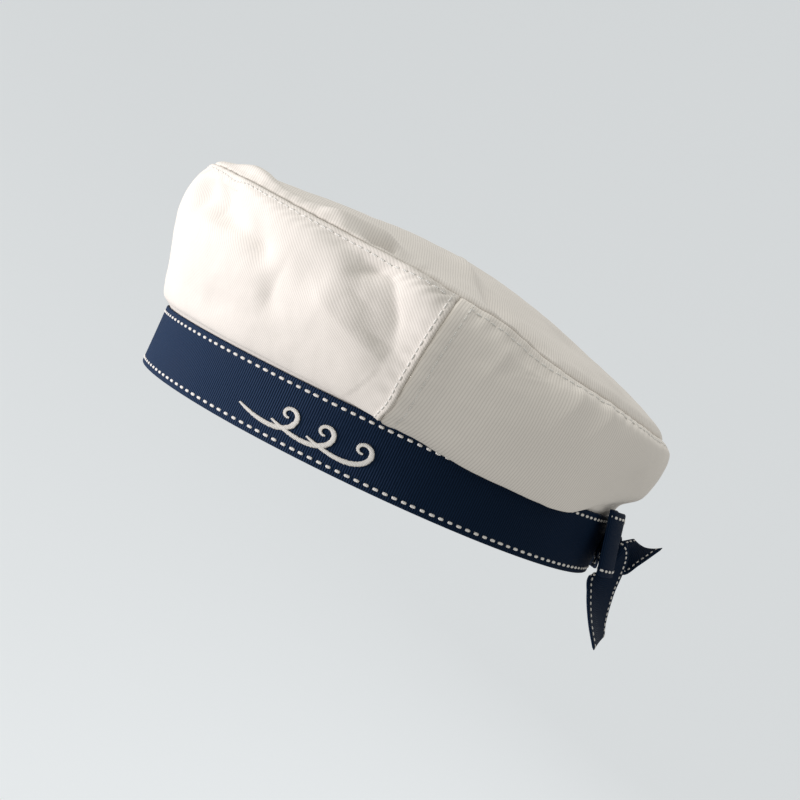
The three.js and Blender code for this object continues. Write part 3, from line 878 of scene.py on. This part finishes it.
def walk(path, ups, pitch, length, sink, closed=False):
    """Stitches of a length at a pitch along a path: lists of starts, ends and ups."""
    if closed:
        path = np.concatenate([path, path[:1]])
        ups = np.concatenate([ups, ups[:1]])
    run = np.concatenate([[0], np.linalg.norm(np.diff(path, axis=0), axis=-1).cumsum()])
    count = max(1, int(run[-1] / pitch))
    middle = (np.arange(count) + 0.5) * run[-1] / count + rng.normal(0, pitch * 0.02, count)
    half = length / 2 * (1 + rng.normal(0, 0.05, count))

    def at(place, values):
        return np.stack([np.interp(place, run, values[:, k]) for k in range(3)], axis=-1)

    lifted = path - ups * sink
    return at(middle - half, lifted), at(middle + half, lifted), at(middle, ups)


def gather_rows(rows):
    return [np.concatenate([row[k] for row in rows]) for k in range(3)]


print("triangles in one stitch:", sum(len(face) - 2 for face in THREAD_FACES))

# %% [markdown]
# The ribbon's two rows of white dashes are saddle stitches, one near each edge, on the band, the
# loops and the tails. They are thick and short, and sit half sunk in the ribs.

# %% Saddle stitches of the ribbon
SADDLE_INSET = 2.3
SADDLE_PITCH = 3.6
SADDLE_SHARE = 0.56
SADDLE_WIDE = 1.1
SADDLE_TALL = 0.34


def across_path(sheet, across, place):
    """The line on a ribbon grid (along, across, xyz) at a distance across it."""
    index = np.interp(place, across, np.arange(len(across)))
    low = min(int(index), len(across) - 2)
    share = index - low
    return sheet[:, low] * (1 - share) + sheet[:, low + 1] * share


def saddle_rows(sheet, across, facing, closed, skip=0, pitch=SADDLE_PITCH):
    normals = grid_normals(sheet, closed) * facing
    rows = []
    for place in (SADDLE_INSET, across[-1] - SADDLE_INSET):
        path = across_path(sheet, across, place)[skip:]
        ups = across_path(normals, across, place)[skip:]
        rows.append(walk(path, ups, pitch, pitch * SADDLE_SHARE, 0.02, closed))
    return rows


band_rows = saddle_rows(band_track["face"], band_track["across"], 1, True)
band_stitches = thread_rows("ribbon_saddle_stitches", *gather_rows(band_rows), SADDLE_WIDE, SADDLE_TALL)
loop = bow_track["loops"]
loop_rows = saddle_rows(loop["outer"], loop["across"], 1, True)
loop_rows += saddle_rows(loop["inner"], loop["across"], -1, True)
loop_stitches = thread_rows("bow_loop_saddle_stitches", *gather_rows(loop_rows), SADDLE_WIDE, SADDLE_TALL)
print("saddle stitches on the band:", len(gather_rows(band_rows)[0]))

# %% [markdown]
# The tails show both their faces, so they are stitched on both. Their stitches are shorter and
# closer than those of the band, as on a narrow cut end, and they begin where the gathers of the
# knot have opened.

# %% Saddle stitches of the tails
TAIL_PITCH = 2.3
TAIL_WIDE = SADDLE_WIDE * 0.75
GATHERED_ROWS = 14


def tail_stitches(name, tail):
    outer = tail["outer"].transpose(1, 0, 2)
    inner = tail["inner"].transpose(1, 0, 2)
    rows = saddle_rows(outer, tail["across"], 1, False, GATHERED_ROWS, TAIL_PITCH)
    rows += saddle_rows(inner, tail["across"], -1, False, GATHERED_ROWS, TAIL_PITCH)
    return thread_rows(name, *gather_rows(rows), TAIL_WIDE, SADDLE_TALL)


left_stitches = tail_stitches("bow_tail_left_saddle_stitches", bow_track["bow_tail_left_cloth"])
right_stitches = tail_stitches("bow_tail_right_saddle_stitches", bow_track["bow_tail_right_cloth"])

# %% [markdown]
# The crown's seams are topstitched in white thread: one row a few millimetres below the top seam,
# and one on each side of both side seams. The paths are read off the finished cloth, so the
# stitches follow its puckers.

# %% Topstitches of the crown
TOPSTITCH_PITCH = 2.9
TOPSTITCH_LENGTH = 2.2
TOPSTITCH_WIDE = 0.66
TOPSTITCH_TALL = 0.36


def row_path(grid, rows):
    """One point per column of a grid, at a broken row number for each."""
    low = np.clip(rows.astype(int), 0, grid.shape[1] - 2)
    share = (rows - low)[:, None]
    column = np.arange(grid.shape[0])
    return grid[column, low] * (1 - share) + grid[column, low + 1] * share


def panel_topstitches(name):
    sheet = crown_sheets[name]
    face = sheet["face"]
    normals = grid_normals(face)
    below = np.array([np.interp(-TOP_STITCH, h, np.arange(len(h))) for h in sheet["height"]])
    inset = slice(4, -4)
    rows = [walk(row_path(face, below)[inset], row_path(normals, below)[inset],
                 TOPSTITCH_PITCH, TOPSTITCH_LENGTH, 0.0)]
    breadth = sheet["breadth"]
    shown = np.where(sheet["levels"][0] > 1.9)[0]
    inward = FRONT_STITCH if name.startswith("front") else BACK_STITCH
    for from_end in (False, True):
        reach = breadth[-1] - inward if from_end else np.full(breadth.shape[1], inward)
        column = np.array([np.interp(reach[j], breadth[:, j], np.arange(len(breadth))) for j in shown])
        path = row_path(face.transpose(1, 0, 2)[shown], column)
        ups = row_path(normals.transpose(1, 0, 2)[shown], column)
        rows.append(walk(path, ups, TOPSTITCH_PITCH, TOPSTITCH_LENGTH, 0.0))
    stitches = name.replace("cloth", "topstitches")
    return thread_rows(stitches, *gather_rows(rows), TOPSTITCH_WIDE, TOPSTITCH_TALL)


front_topstitches = panel_topstitches("front_panel_cloth")
back_topstitches = panel_topstitches("back_panel_cloth")

# %% [markdown]
# On its left side the ribbon carries a small embroidered ornament, a row of rolling waves in satin
# stitch: threads laid side by side across each stroke. A stroke is a line that curls ever tighter,
# and its width swells and thins like a brush stroke.

# %% Embroidered waves
WAVE_PITCH = 12.0
WAVE_LENGTH = 33.0
WAVE_COUNT = 3
SATIN_PITCH = 0.42
SATIN_WIDE = 0.55
SATIN_TALL = 0.3
SATIN_SLANT = 0.35
MOTIF_DEG = 80.0
MOTIF_HEIGHT = 8.6
MOTIF_SHIFT = -9.0
FOOT_RADIUS = 85.0


def wave_stroke(steps=120):
    """One wave: places along and up the ribbon in millimetres, and the stroke's width."""
    run = np.linspace(0, 1, steps)
    heading = math.radians(-20) + 0.75 * run + 6.6 * run ** 4
    stride = WAVE_LENGTH / (steps - 1)
    along = np.concatenate([[0], (np.cos(heading[:-1]) * stride).cumsum()])
    up = np.concatenate([[0], (np.sin(heading[:-1]) * stride).cumsum()])
    width = 0.6 + 1.3 * np.sin(math.pi * np.clip(run * 0.94 + 0.03, 0, 1)) ** 0.9
    return along, up, heading, width, run * WAVE_LENGTH


def on_band(along, up):
    """Points and normals on the ribbon's outer face, for places in millimetres from the motif's middle."""
    angle = math.radians(MOTIF_DEG) + along / FOOT_RADIUS
    point = np.stack([RIBBON_BREADTH * np.sin(angle), -RIBBON_LENGTH * np.cos(angle), up], axis=-1)
    normal = np.stack([np.sin(angle) / RIBBON_BREADTH, -np.cos(angle) / RIBBON_LENGTH, 0 * angle], axis=-1)
    return point, normal / np.linalg.norm(normal, axis=-1, keepdims=True)


def satin_waves():
    along, up, heading, width, run = wave_stroke()
    laid = np.arange(0.3, run[-1] - 0.2, SATIN_PITCH)
    rows = []
    for wave in range(WAVE_COUNT):
        shift = (wave - (WAVE_COUNT - 1) / 2) * WAVE_PITCH + MOTIF_SHIFT
        middle = np.interp(laid, run, along) + shift
        height = np.interp(laid, run, up) + MOTIF_HEIGHT
        lean = np.interp(laid, run, heading) + math.pi / 2 - SATIN_SLANT
        half = np.interp(laid, run, width) / 2 * (1 + rng.normal(0, 0.05, len(laid)))
        low, up_low = on_band(middle - np.cos(lean) * half, height - np.sin(lean) * half)
        high, up_high = on_band(middle + np.cos(lean) * half, height + np.sin(lean) * half)
        rise = 0.12 + 0.1 * (half / half.max())[:, None]
        rows.append((low + up_low * rise, high + up_high * rise, up_low))
    return thread_rows("ribbon_wave_embroidery", *gather_rows(rows), SATIN_WIDE, SATIN_TALL)


waves = satin_waves()

# %% [markdown]
# Three finishes share the same weaver's effects, so each effect is a node group that is built once.
# The first draws raised lines, one beside the other, from the place on the flat cloth: twill lines,
# grosgrain ribs and the twist of a thread are all the same drawing at another pitch. A little noise
# bends them, as no yarn is even.

# %% Node group for raised lines
def new_group(name, inputs, outputs):
    """An empty shader node group with named sockets, and its two end nodes."""
    group = bpy.data.node_groups.new(name, "ShaderNodeTree")
    for label, kind, value in inputs:
        socket = group.interface.new_socket(name=label, in_out="INPUT", socket_type=kind)
        socket.default_value = value
    for label, kind in outputs:
        group.interface.new_socket(name=label, in_out="OUTPUT", socket_type=kind)
    start = group.nodes.new("NodeGroupInput")
    end = group.nodes.new("NodeGroupOutput")
    return group, start, end


def math_node(group, operation, first, second=None, third=None):
    """A Math node whose inputs are sockets or plain numbers. Gives its output socket."""
    node = group.nodes.new("ShaderNodeMath")
    node.operation = operation
    for slot, value in zip(node.inputs, (first, second, third)):
        if value is None:
            continue
        if isinstance(value, (int, float)):
            slot.default_value = value
        else:
            group.links.new(value, slot)
    return node.outputs[0]


def noise_node(group, vector, scale, detail=2.0):
    node = group.nodes.new("ShaderNodeTexNoise")
    node.inputs["Detail"].default_value = detail
    group.links.new(vector, node.inputs["Vector"])
    if isinstance(scale, (int, float)):
        node.inputs["Scale"].default_value = scale
    else:
        group.links.new(scale, node.inputs["Scale"])
    return node.outputs["Fac"]


def raised_lines_group():
    group, start, end = new_group(
        "raised_lines",
        [("Weave", "NodeSocketVector", (0, 0, 0)), ("Pitch", "NodeSocketFloat", 0.001),
         ("Unevenness", "NodeSocketFloat", 0.15)],
        [("Height", "NodeSocketFloat"), ("Furrow", "NodeSocketFloat")])
    split = group.nodes.new("ShaderNodeSeparateXYZ")
    group.links.new(start.outputs["Weave"], split.inputs[0])
    lines = math_node(group, "DIVIDE", split.outputs["X"], start.outputs["Pitch"])
    bend = math_node(group, "SUBTRACT", noise_node(group, start.outputs["Weave"], 220.0), 0.5)
    bend = math_node(group, "MULTIPLY", bend, start.outputs["Unevenness"])
    lines = math_node(group, "MULTIPLY_ADD", bend, 4.0, lines)
    wave = math_node(group, "SINE", math_node(group, "MULTIPLY", lines, 2 * math.pi))
    height = math_node(group, "MULTIPLY_ADD", wave, 0.5, 0.5)
    slub = noise_node(group, start.outputs["Weave"], 900.0, 1.0)
    height = math_node(group, "MULTIPLY", height, math_node(group, "MULTIPLY_ADD", slub, 0.8, 0.6))
    pressed = noise_node(group, start.outputs["Weave"], 30.0, 1.0)
    height = math_node(group, "MULTIPLY", height, math_node(group, "MULTIPLY_ADD", pressed, 1.6, 0.1))
    group.links.new(height, end.inputs["Height"])
    furrow = math_node(group, "SUBTRACT", 1.0, height)
    furrow = math_node(group, "POWER", math_node(group, "MAXIMUM", furrow, 0.0), 2.5)
    group.links.new(furrow, end.inputs["Furrow"])
    return group


raised_lines = raised_lines_group()
print("group:", raised_lines.name, "nodes:", len(raised_lines.nodes))

# %% [markdown]
# The second group gives the dyed or bleached colour its life: broad washed-out patches, fine flecks
# from single yarns, and a paler or duller rim along edges and seams, where hands rub the cloth. It
# also paints shade into the colour: a darker line in each furrow of the raised lines.

# %% Node group for the tone of the cloth
def yarn_tone_group():
    group, start, end = new_group(
        "yarn_tone",
        [("Weave", "NodeSocketVector", (0, 0, 0)), ("Base", "NodeSocketColor", (0.8, 0.8, 0.8, 1)),
         ("Worn", "NodeSocketColor", (0.7, 0.7, 0.7, 1)), ("Furrow", "NodeSocketFloat", 0.0),
         ("Furrow Depth", "NodeSocketFloat", 0.2), ("Patches", "NodeSocketFloat", 0.1),
         ("Edge", "NodeSocketFloat", 0.01), ("Rim", "NodeSocketFloat", 0.001)],
        [("Color", "NodeSocketColor"), ("Rubbed", "NodeSocketFloat")])
    patch = noise_node(group, start.outputs["Weave"], 28.0, 3.0)
    fleck = noise_node(group, start.outputs["Weave"], 1500.0, 2.0)
    shade = math_node(group, "MULTIPLY_ADD", patch, 0.7, math_node(group, "MULTIPLY", fleck, 0.3))
    shade = math_node(group, "SUBTRACT", shade, 0.5)
    shade = math_node(group, "MULTIPLY_ADD", shade, start.outputs["Patches"], 1.0)
    # Painted shade: the colour is darkened in each furrow, where the raised lines would shade it.
    painted_furrow_shade = math_node(group, "MULTIPLY", start.outputs["Furrow"], start.outputs["Furrow Depth"])
    shade = math_node(group, "MULTIPLY", shade, math_node(group, "SUBTRACT", 1.0, painted_furrow_shade))
    near = math_node(group, "DIVIDE", start.outputs["Edge"], start.outputs["Rim"])
    rubbed = math_node(group, "POWER", 2.718, math_node(group, "MULTIPLY", near, -1.0))
    rubbed = math_node(group, "MULTIPLY", rubbed, math_node(group, "MULTIPLY_ADD", patch, 1.2, 0.1))
    blend = group.nodes.new("ShaderNodeMix")
    blend.data_type = "RGBA"
    group.links.new(rubbed, blend.inputs["Factor"])
    group.links.new(start.outputs["Base"], blend.inputs["A"])
    group.links.new(start.outputs["Worn"], blend.inputs["B"])
    scaled = group.nodes.new("ShaderNodeVectorMath")
    scaled.operation = "SCALE"
    group.links.new(blend.outputs["Result"], scaled.inputs[0])
    group.links.new(shade, scaled.inputs["Scale"])
    group.links.new(scaled.outputs[0], end.inputs["Color"])
    group.links.new(rubbed, end.inputs["Rubbed"])
    return group


yarn_tone = yarn_tone_group()
print("group:", yarn_tone.name, "nodes:", len(yarn_tone.nodes))

# %% [markdown]
# A finish is then a Principled shader fed by the two groups: colour from the tone, with shade
# painted into the furrows of the raised lines, roughness that changes where the cloth is rubbed,
# and a bump from the raised lines. What is the same all over, such as sheen, is set on the shader
# itself.

# %% The three finishes
def attribute_node(tree, name):
    node = tree.nodes.new("ShaderNodeAttribute")
    node.attribute_name = name
    return node


def group_node(tree, group, **values):
    node = tree.nodes.new("ShaderNodeGroup")
    node.node_tree = group
    for label, value in values.items():
        node.inputs[label.replace("_", " ")].default_value = value
    return node


def cloth_finish(name, pitch, unevenness, relief, base, worn, depth, patches, rim, rough, smooth):
    """A woven finish: the two groups into one Principled shader."""
    material = bpy.data.materials.new(name)
    material.use_nodes = True
    tree = material.node_tree
    shader = tree.nodes["Principled BSDF"]
    weave = attribute_node(tree, "weave").outputs["Vector"]
    edge = attribute_node(tree, "edge").outputs["Fac"]
    lines = group_node(tree, raised_lines, Pitch=pitch, Unevenness=unevenness)
    tone = group_node(tree, yarn_tone, Base=(*base, 1), Worn=(*worn, 1), Furrow_Depth=depth,
                      Patches=patches, Rim=rim)
    tree.links.new(weave, lines.inputs["Weave"])
    tree.links.new(weave, tone.inputs["Weave"])
    tree.links.new(edge, tone.inputs["Edge"])
    # The furrows of the raised lines paint shade into the colour.
    tree.links.new(lines.outputs["Furrow"], tone.inputs["Furrow"])
    tree.links.new(tone.outputs["Color"], shader.inputs["Base Color"])
    gloss = tree.nodes.new("ShaderNodeMapRange")
    gloss.inputs["To Min"].default_value = rough
    gloss.inputs["To Max"].default_value = smooth
    tree.links.new(tone.outputs["Rubbed"], gloss.inputs["Value"])
    tree.links.new(gloss.outputs[0], shader.inputs["Roughness"])
    bump = tree.nodes.new("ShaderNodeBump")
    bump.inputs["Strength"].default_value = 1.0
    bump.inputs["Distance"].default_value = relief
    tree.links.new(lines.outputs["Height"], bump.inputs["Height"])
    tree.links.new(bump.outputs["Normal"], shader.inputs["Normal"])
    return material, shader


# depth: how dark the shade painted into each furrow is.
white_twill, twill_shader = cloth_finish(
    "white_twill", pitch=0.00093, unevenness=0.09, relief=0.00003, base=(0.835, 0.8, 0.755),
    worn=(0.79, 0.74, 0.68), depth=0.17, patches=0.08, rim=0.0012, rough=0.92, smooth=0.8)
twill_shader.inputs["Sheen Weight"].default_value = 0.06
twill_shader.inputs["Sheen Roughness"].default_value = 0.5
twill_shader.inputs["Specular IOR Level"].default_value = 0.15

# The ribbon's ribs get deep painted shade in their furrows.
navy_grosgrain, ribbon_shader = cloth_finish(
    "navy_grosgrain", pitch=0.00092, unevenness=0.05, relief=0.00016, base=(0.0068, 0.0176, 0.043),
    worn=(0.0085, 0.0205, 0.049), depth=0.6, patches=0.25, rim=0.0006, rough=0.66, smooth=0.55)
ribbon_shader.inputs["Specular IOR Level"].default_value = 0.03

white_thread, thread_shader = cloth_finish(
    "white_thread", pitch=0.0006, unevenness=0.1, relief=0.00006, base=(0.86, 0.85, 0.82),
    worn=(0.80, 0.78, 0.74), depth=0.3, patches=0.12, rim=0.0003, rough=0.6, smooth=0.7)
thread_shader.inputs["Specular IOR Level"].default_value = 0.45
print("finishes:", white_twill.name, navy_grosgrain.name, white_thread.name)

# %% [markdown]
# Now each piece gets its finish, takes the place of its CAD solid and rides on the hat's one body.
# Stitches replace nothing, they only ride along. The pieces are also put in one collection, which
# the lamps use later.

# %% Dress the frame
hat_pieces = bpy.data.collections.new("hat_pieces")


def dress(piece, material, slot, *nodes):
    piece.data.materials.append(material)
    hat_pieces.objects.link(piece)
    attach(piece, "root")
    if nodes:
        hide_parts(*nodes)


dress(tip, white_twill, "white_twill", "crown_tip")
dress(front_panel, white_twill, "white_twill", "side_panel_front")
dress(back_panel, white_twill, "white_twill", "side_panel_back")
dress(ribbon, navy_grosgrain, "navy_grosgrain", "ribbon_band")
dress(loops, navy_grosgrain, "navy_grosgrain", "bow_loops")
dress(knot, navy_grosgrain, "navy_grosgrain", "bow_knot")
dress(left_tail, navy_grosgrain, "navy_grosgrain", "bow_tail_left")
dress(right_tail, navy_grosgrain, "navy_grosgrain", "bow_tail_right")
for threads in (band_stitches, loop_stitches, left_stitches, right_stitches, front_topstitches,
                back_topstitches, waves):
    dress(threads, white_thread, "white_thread")

# %% [markdown]


# %% [markdown]
# The band, the loops, the tails and the knot are lengths of ribbon, and the gathered ends of the bow
# are narrower than the flat ribbon.


# %% [markdown]
# The camera stands level with the hat, on its left and a little behind it, and the hat looks tipped
# by about 25 degrees, so the camera is rolled. The matrix is written from its three directions,
# which is exact, where aiming by hand would not be.

# %% Camera
AZIMUTH = math.radians(95)
ELEVATION = math.radians(2.637)
ROLL = math.radians(25.32)
DISTANCE = 0.430
LOOK_AT = Vector((0, 0.002527, 0.029962))
away = Vector((math.sin(AZIMUTH) * math.cos(ELEVATION), -math.cos(AZIMUTH) * math.cos(ELEVATION),
               math.sin(ELEVATION)))
right = (-away).cross(Vector((0, 0, 1))).normalized()
upright = right.cross(-away)
rolled_right = right * math.cos(ROLL) + upright * math.sin(ROLL)
rolled_up = upright * math.cos(ROLL) - right * math.sin(ROLL)
camera_data = bpy.data.cameras.new("camera")
camera_data.lens = 45.48
camera_data.sensor_width = 36.0
camera_data.clip_start = 0.01
camera = bpy.data.objects.new("camera", camera_data)
bpy.context.scene.collection.objects.link(camera)
turned = Matrix((rolled_right, rolled_up, away)).transposed().to_4x4()
camera.matrix_world = Matrix.Translation(LOOK_AT + away * DISTANCE) @ turned
bpy.context.scene.camera = camera
print("camera at", [round(v, 3) for v in camera.matrix_world.translation])

# %% [markdown]
# The studio is a wide pale bowl: a flat floor that sweeps up into a wall all round, so that no
# horizon shows behind a tilted camera. It could be a plane with a far edge, but that edge would
# show when the camera is rolled. The paper glows a little, so that it stays pale and even without
# lighting the hat from below.

# %% Floor and backdrop
FLOOR = -0.6
FLAT_RADIUS = 1.0
SWEEP = 1.4
WALL_TOP = 3.0


def studio_bowl(segments=72, bends=14):
    bend = np.linspace(0, math.pi / 2, bends)
    radius = np.concatenate([[0.3, 0.7], FLAT_RADIUS + SWEEP * np.sin(bend), [FLAT_RADIUS + SWEEP]])
    height = np.concatenate([[0, 0], SWEEP * (1 - np.cos(bend)), [WALL_TOP]]) + FLOOR
    turn = np.linspace(0, 2 * math.pi, segments, endpoint=False)
    points = [(r * math.cos(t), r * math.sin(t), h) for t in turn for r, h in zip(radius, height)]
    points.append((0, 0, FLOOR))
    index = np.arange(segments * len(radius)).reshape(segments, len(radius))
    index = np.concatenate([index, index[:1]])
    faces = [tuple(face[::-1]) for face in grid_faces(index).tolist()]
    faces += [(int(a), int(b), len(points) - 1) for a, b in zip(index[:-1, 0], index[1:, 0])]
    mesh = bpy.data.meshes.new("studio_bowl")
    mesh.from_pydata(points, [], faces)
    mesh.shade_smooth()
    bowl = bpy.data.objects.new("studio_bowl", mesh)
    bpy.context.scene.collection.objects.link(bowl)
    return bowl


bowl = studio_bowl()
paper = bpy.data.materials.new("studio_paper")
paper.use_nodes = True
paper_shader = paper.node_tree.nodes["Principled BSDF"]
paper_shader.inputs["Base Color"].default_value = (0.84, 0.88, 0.92, 1)
paper_shader.inputs["Roughness"].default_value = 0.95
paper_shader.inputs["Specular IOR Level"].default_value = 0.1
paper_shader.inputs["Emission Color"].default_value = (0.9, 0.95, 1.0, 1)
paper_shader.inputs["Emission Strength"].default_value = 0.2
bowl.data.materials.append(paper)
bowl.visible_diffuse = False
bowl.visible_glossy = False
print("floor at", FLOOR, "m")

# %% [markdown]
# A low soft lamp at the front makes the front panel bright and lets the side fall into shade. A
# photographer would keep it off the back panel with black card, which light linking does here, and
# a weak lamp high at the side shows that panel's weave instead. A second lamp brings out the ribs
# at the front of the dark ribbon. Large fills above and behind open the shadows.

# %% Lamps
HAT_MIDDLE = (0, 0, 0.05)
ROSY = (1.0, 0.95, 0.965)
CREAM = (1.0, 0.98, 0.9)


def soft_lamp(name, place, size, watts, color):
    """A round area lamp that looks at the hat. size: its width in metres."""
    data = bpy.data.lights.new(name, "AREA")
    data.shape = "DISK"
    data.size = size
    data.energy = watts
    data.color = color
    lamp = bpy.data.objects.new(name, data)
    bpy.context.scene.collection.objects.link(lamp)
    lamp.location = place
    lamp.rotation_euler = (Vector(HAT_MIDDLE) - Vector(place)).to_track_quat("-Z", "Y").to_euler()
    lamp.visible_camera = False
    return lamp


def only_on(lamp, pieces):
    """Let a lamp light these pieces only, as black card round it would."""
    lit = bpy.data.collections.new("lit_by_" + lamp.name)
    for piece in pieces:
        lit.objects.link(piece)
    lamp.light_linking.receiver_collection = lit


in_shade = [piece for piece in hat_pieces.objects if piece.name.startswith("back_panel")]
in_front = [piece for piece in hat_pieces.objects if piece not in in_shade]
only_on(soft_lamp("front_lamp", (0.49, -1.05, -0.26), 0.4, 11.4, ROSY), in_front)
only_on(soft_lamp("ribbon_lamp", (0.25, -1.1, -0.2), 0.4, 22.0, ROSY), [ribbon])
only_on(soft_lamp("side_lamp", (0.8, -0.6, 0.7), 0.2, 1.9, CREAM), in_shade)
soft_lamp("top_fill", (0.2, -0.9, 1.3), 1.4, 8.6, (1.0, 0.985, 0.955))
soft_lamp("back_fill", (-1.1, 0.6, 0.45), 0.8, 2.6, (1.0, 0.99, 0.97))
world = bpy.data.worlds.new("studio_air")
bpy.context.scene.world = world
world.use_nodes = True
air = world.node_tree.nodes["Background"]
air.inputs["Color"].default_value = (1.0, 0.985, 0.94, 1)
air.inputs["Strength"].default_value = 0.52
bpy.context.scene.view_settings.view_transform = "Standard"
print("lamps:", len(bpy.data.lights))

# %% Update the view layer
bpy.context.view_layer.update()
